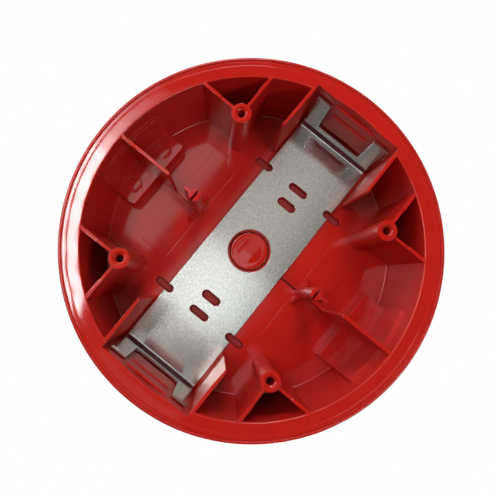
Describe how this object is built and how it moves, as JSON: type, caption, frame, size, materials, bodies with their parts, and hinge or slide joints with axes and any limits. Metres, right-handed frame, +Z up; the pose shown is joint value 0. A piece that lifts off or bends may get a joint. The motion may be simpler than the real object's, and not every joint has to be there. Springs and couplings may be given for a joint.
{
  "type": "fire alarm bell",
  "caption": "Round red wall bell with a deep ribbed housing, a folded steel strap inside its open rear, and a gong struck by a motor-driven swinging hammer.",
  "frame": {"origin": "centre of the housing's rear rim, in the plane that meets the wall", "axes": "+Y points at the wall, so the gong faces -Y; X runs along the steel strap; +Z is up on the wall"},
  "size_m": [0.15, 0.0973, 0.15],
  "materials": {
    "red_abs": "glossy moulded ABS, red",
    "brushed_steel": "plain cold-rolled steel strip, brushed along its length",
    "zinc_plate": "bright zinc plate",
    "turned_steel": "turned steel",
    "red_gloss_paint": "red gloss powder coat on pressed steel",
    "black_rubber": "matt black rubber",
    "black_nylon": "black nylon",
    "cream_nylon": "cream nylon",
    "brass": "plain brass",
    "circuit_board": "green solder resist",
    "capacitor_case": "blue film capacitor case",
    "red_insulation": "red PVC insulation",
    "black_insulation": "black PVC insulation"
  },
  "bodies": {
    "bell": {"housing": "red_abs", "mounting_strap": "brushed_steel", "chassis_plate": "zinc_plate", "gong_post": "zinc_plate", "gong_washer_steel": "zinc_plate", "gong_bolt": "zinc_plate", "motor_can": "zinc_plate", "chassis_screw_1": "zinc_plate", "chassis_screw_2": "zinc_plate", "chassis_screw_3": "zinc_plate", "chassis_screw_4": "zinc_plate", "motor_screw_1": "zinc_plate", "motor_screw_2": "zinc_plate", "block_screw_1": "zinc_plate", "block_screw_2": "zinc_plate", "gong": "red_gloss_paint", "gong_washer_inner": "black_rubber", "gong_washer_outer": "black_rubber", "cable_grommet": "black_rubber", "chassis_bush_1": "black_rubber", "chassis_bush_2": "black_rubber", "chassis_bush_3": "black_rubber", "chassis_bush_4": "black_rubber", "motor_mount": "black_nylon", "motor_end_cap": "black_nylon", "board_spacer_1": "black_nylon", "board_spacer_2": "black_nylon", "terminal_block": "cream_nylon", "motor_tab_1": "brass", "motor_tab_2": "brass", "terminal_screw_1": "brass", "terminal_screw_2": "brass", "terminal_screw_3": "brass", "terminal_screw_4": "brass", "suppressor_board": "circuit_board", "suppressor_capacitor": "capacitor_case", "lead_positive": "red_insulation", "lead_negative": "black_insulation"},
    "rotor": {"motor_shaft": "turned_steel", "striker_rotor": "zinc_plate", "hammer_pin": "turned_steel", "hammer_clip": "turned_steel"},
    "hammer": {"hammer": "turned_steel"}
  },
  "joints": [
    {"name": "rotor_spin", "type": "hinge", "parent": "bell", "child": "rotor", "pos_m": [0, -0.068, 0.04], "axis": [0, 1, 0], "continuous": true},
    {"name": "hammer_swing", "type": "hinge", "parent": "rotor", "child": "hammer", "pos_m": [0, -0.0725, 0.028], "axis": [0, 1, 0], "range_deg": [-110, 110]}
  ]
}
